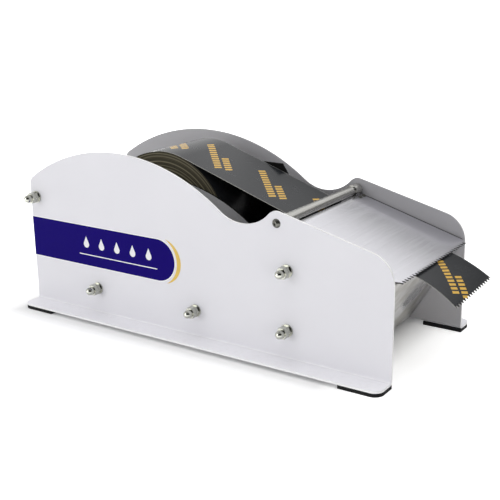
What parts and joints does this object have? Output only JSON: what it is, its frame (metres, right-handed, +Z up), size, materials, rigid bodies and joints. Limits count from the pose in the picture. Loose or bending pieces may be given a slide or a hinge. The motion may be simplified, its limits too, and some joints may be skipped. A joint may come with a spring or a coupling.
{
  "type": "water-activated tape dispenser",
  "caption": "Low counter dispenser for gummed paper tape: a roll between domed steel side plates, a guide bar, a hinged toothed cover and a water tank with a wetting roller.",
  "frame": {"origin": "on the table, under the middle of the overall length and width, tape's free end included", "axes": "+X forward, the way the tape comes out; +Z up; -Y is the side with the label"},
  "size_m": [0.4585, 0.2, 0.1745],
  "materials": {
    "white_coating": "satin",
    "foot_rubber": "matte",
    "rod_steel": "satin",
    "nickel": "polished",
    "bar_steel": "satin",
    "cover_steel": "satin",
    "tank_steel": "satin",
    "wetting_plastic": "matte",
    "roller_plastic": "matte",
    "bush_plastic": "satin",
    "guide_coating": "satin",
    "tape_winding": "matte",
    "core_board": "matte",
    "tape_face": "satin",
    "label_blue": "gloss",
    "label_gold": "gloss"
  },
  "bodies": {
    "frame": {"left_side_plate": "white_coating", "right_side_plate": "white_coating", "front_left_foot": "foot_rubber", "rear_left_foot": "foot_rubber", "front_right_foot": "foot_rubber", "rear_right_foot": "foot_rubber", "rear_tie_rod": "rod_steel", "rear_roller_axle": "rod_steel", "front_roller_axle": "rod_steel", "upper_tank_rod": "rod_steel", "lower_tank_rod": "rod_steel", "spacer_sleeves": "rod_steel", "axle_clips": "rod_steel", "washers": "nickel", "jam_nuts": "nickel", "acorn_nuts": "nickel", "guide_bar": "bar_steel", "bar_screws": "bar_steel", "water_tank": "tank_steel", "left_roll_guide": "guide_coating", "right_roll_guide": "guide_coating", "tape_strip": "tape_face", "side_label": "label_blue", "label_crescent": "label_gold"},
    "tape": {"tape_roll": "tape_winding", "tape_core": "core_board"},
    "rear_roller": {"rear_support_roller": "roller_plastic", "rear_roller_bushes": "bush_plastic"},
    "front_roller": {"front_support_roller": "roller_plastic", "front_roller_bushes": "bush_plastic"},
    "wetting": {"wetting_roller": "wetting_plastic", "wetting_axle": "rod_steel"},
    "cover": {"cover_plate": "cover_steel", "left_hinge_lug": "cover_steel", "right_hinge_lug": "cover_steel", "lug_rivets": "cover_steel"}
  },
  "joints": [
    {"name": "tape_roll_spin", "type": "hinge", "parent": "frame", "child": "tape", "pos_m": [-0.0792, 0, 0.09755], "axis": [0, 1, 0], "continuous": true},
    {"name": "rear_roller_spin", "type": "hinge", "parent": "frame", "child": "rear_roller", "pos_m": [-0.1417, 0, 0.031], "axis": [0, 1, 0], "continuous": true},
    {"name": "front_roller_spin", "type": "hinge", "parent": "frame", "child": "front_roller", "pos_m": [-0.0167, 0, 0.031], "axis": [0, 1, 0], "continuous": true},
    {"name": "wetting_roller_spin", "type": "hinge", "parent": "frame", "child": "wetting", "pos_m": [0.1328, 0, 0.0823], "axis": [0, 1, 0], "continuous": true},
    {"name": "cover_hinge", "type": "hinge", "parent": "frame", "child": "cover", "pos_m": [0.0758, 0, 0.13066], "axis": [0, -1, 0], "range_deg": [0, 115]}
  ],
  "couplings": [
    {"joint": "rear_roller_spin", "follows": "tape_roll_spin", "ratio": -4.6875},
    {"joint": "front_roller_spin", "follows": "tape_roll_spin", "ratio": -4.6875},
    {"joint": "wetting_roller_spin", "follows": "tape_roll_spin", "ratio": 3}
  ]
}
